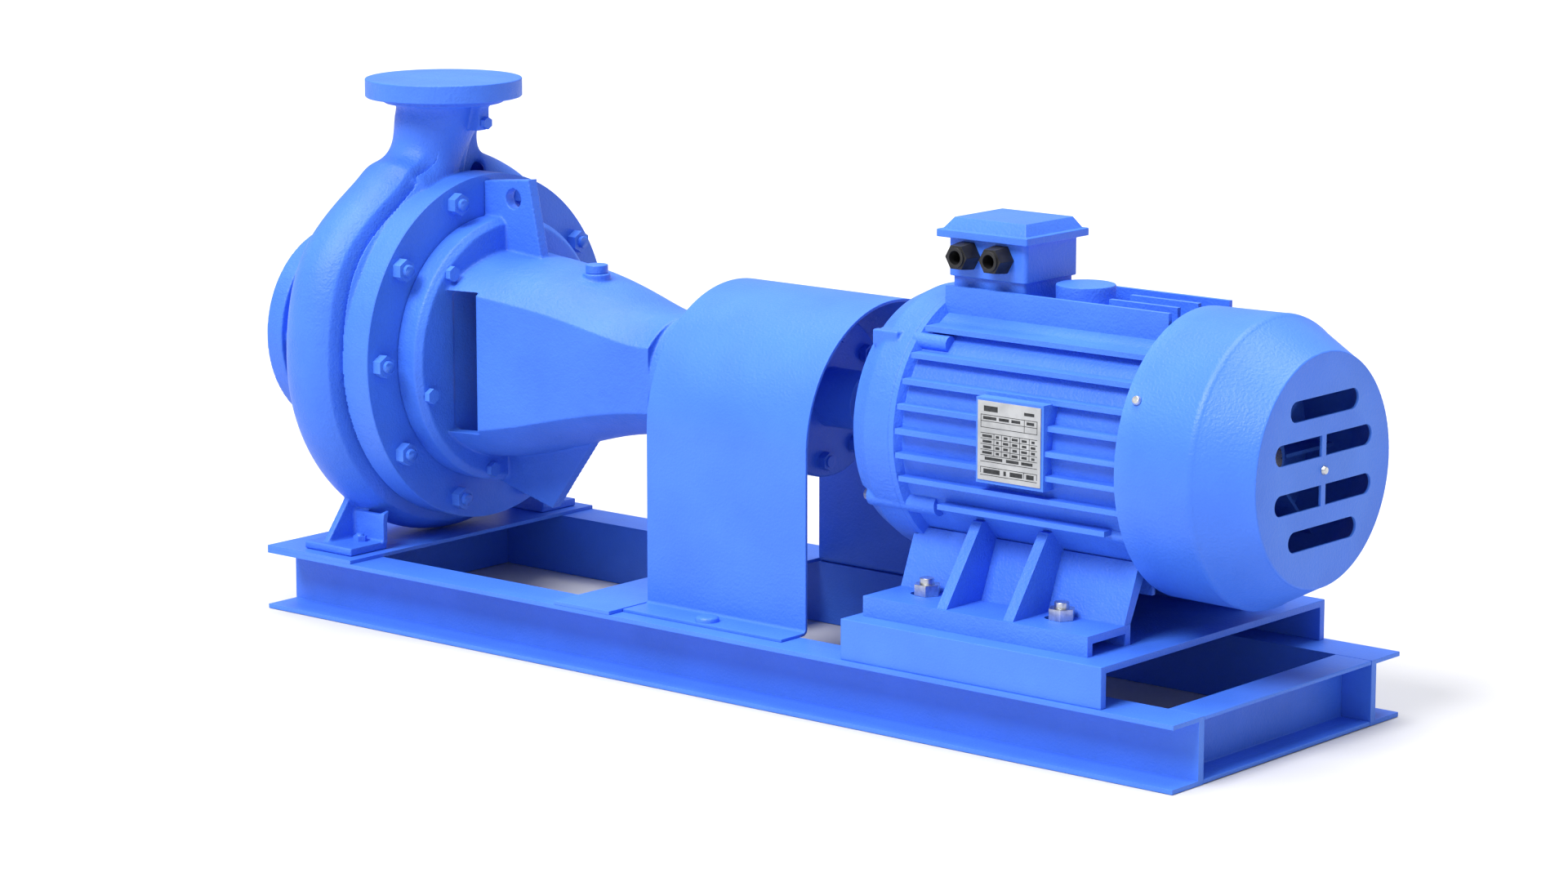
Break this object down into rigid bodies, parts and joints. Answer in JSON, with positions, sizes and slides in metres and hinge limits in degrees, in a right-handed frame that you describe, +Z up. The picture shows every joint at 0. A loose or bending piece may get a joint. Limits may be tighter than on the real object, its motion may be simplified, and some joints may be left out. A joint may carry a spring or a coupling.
{
  "type": "centrifugal_pump",
  "caption": "End-suction centrifugal water pump driven through a guarded pin coupling by a finned electric motor, on a welded steel channel base",
  "frame": {"origin": "middle of the whole set seen from above, on the floor plane under the rails", "axes": "+X along the shaft from the pump toward the motor, +Z up, -Y toward the side with the nameplate and the cable glands"},
  "size_m": [0.9962, 0.319, 0.431],
  "materials": {
    "blue_paint": "bright blue satin enamel over cast iron and steel",
    "bare_casting": "unpainted grey iron",
    "bright_steel": "machined steel",
    "zinc": "zinc-plated steel fasteners",
    "bearing_steel": "ground bearing steel",
    "rubber_part": "black rubber",
    "gasket_fibre": "compressed fibre sheet",
    "black_plastic": "black moulded plastic",
    "copper_winding": "varnished copper winding",
    "core_steel": "laminated electrical steel",
    "plate_silver": "satin aluminium",
    "block_plastic": "dark moulding"
  },
  "bodies": {
    "pump_unit": {"base_end_motor": "blue_paint", "base_end_pump": "blue_paint", "base_rail_far": "blue_paint", "base_rail_near": "blue_paint", "bearing_bracket": "blue_paint", "bearing_end_cover": "blue_paint", "bracket_bolts": "blue_paint", "cable_glands": "black_plastic", "casing_cover": "blue_paint", "casing_gasket": "gasket_fibre", "casing_plugs": "blue_paint", "casing_studs_nuts": "blue_paint", "coupling_guard": "blue_paint", "discharge_cover": "blue_paint", "end_cover_screws": "blue_paint", "endshield_drive": "blue_paint", "endshield_fan": "blue_paint", "endshield_screws": "zinc", "fan_cover": "blue_paint", "fan_cover_screws": "zinc", "frame_top_cap": "blue_paint", "guard_screws": "blue_paint", "mid_cross_plate": "blue_paint", "motor_bearing_outer_rings": "bearing_steel", "motor_foot_bolts": "zinc", "motor_frame": "blue_paint", "motor_pedestal": "blue_paint", "nameplate": "plate_silver", "oil_filler_plug": "blue_paint", "pump_bearing_outer_rings": "bearing_steel", "pump_foot_bolts": "blue_paint", "pump_pad_plate": "blue_paint", "pump_shaft_seals": "rubber_part", "seal_seat": "black_plastic", "stator_core": "core_steel", "stator_windings": "copper_winding", "terminal_block": "block_plastic", "terminal_box": "blue_paint", "terminal_lid": "blue_paint", "volute_casing": "blue_paint", "wear_ring": "bare_casting"},
    "pump_rotor": {"pump_shaft": "bright_steel", "impeller": "bare_casting", "impeller_nut": "bright_steel", "pump_shaft_keys": "bright_steel", "shaft_sleeve": "bright_steel", "seal_rotary": "bright_steel", "pump_bearing_inner_rings": "bearing_steel", "coupling_half_pump": "blue_paint"},
    "motor_rotor": {"motor_shaft": "bright_steel", "motor_shaft_key": "bright_steel", "rotor_core": "core_steel", "fan": "blue_paint", "motor_bearing_inner_rings": "bearing_steel", "coupling_half_motor": "blue_paint", "coupling_pins": "blue_paint", "coupling_bushes": "rubber_part"},
    "pump_balls": {"pump_bearing_balls": "bearing_steel"},
    "motor_balls": {"motor_bearing_balls": "bearing_steel"}
  },
  "joints": [
    {"name": "motor_spin", "type": "hinge", "parent": "pump_unit", "child": "motor_rotor", "pos_m": [0.281, 0, 0.213], "axis": [1, 0, 0], "continuous": true},
    {"name": "pump_spin", "type": "hinge", "parent": "pump_unit", "child": "pump_rotor", "pos_m": [-0.144, 0, 0.213], "axis": [1, 0, 0], "continuous": true},
    {"name": "motor_balls_spin", "type": "hinge", "parent": "pump_unit", "child": "motor_balls", "pos_m": [0.269, 0, 0.213], "axis": [1, 0, 0], "continuous": true},
    {"name": "pump_balls_spin", "type": "hinge", "parent": "pump_unit", "child": "pump_balls", "pos_m": [-0.139, 0, 0.213], "axis": [1, 0, 0], "continuous": true}
  ],
  "couplings": [
    {"joint": "pump_spin", "follows": "motor_spin", "ratio": 1},
    {"joint": "motor_balls_spin", "follows": "motor_spin", "ratio": 0.4},
    {"joint": "pump_balls_spin", "follows": "motor_spin", "ratio": 0.4}
  ]
}
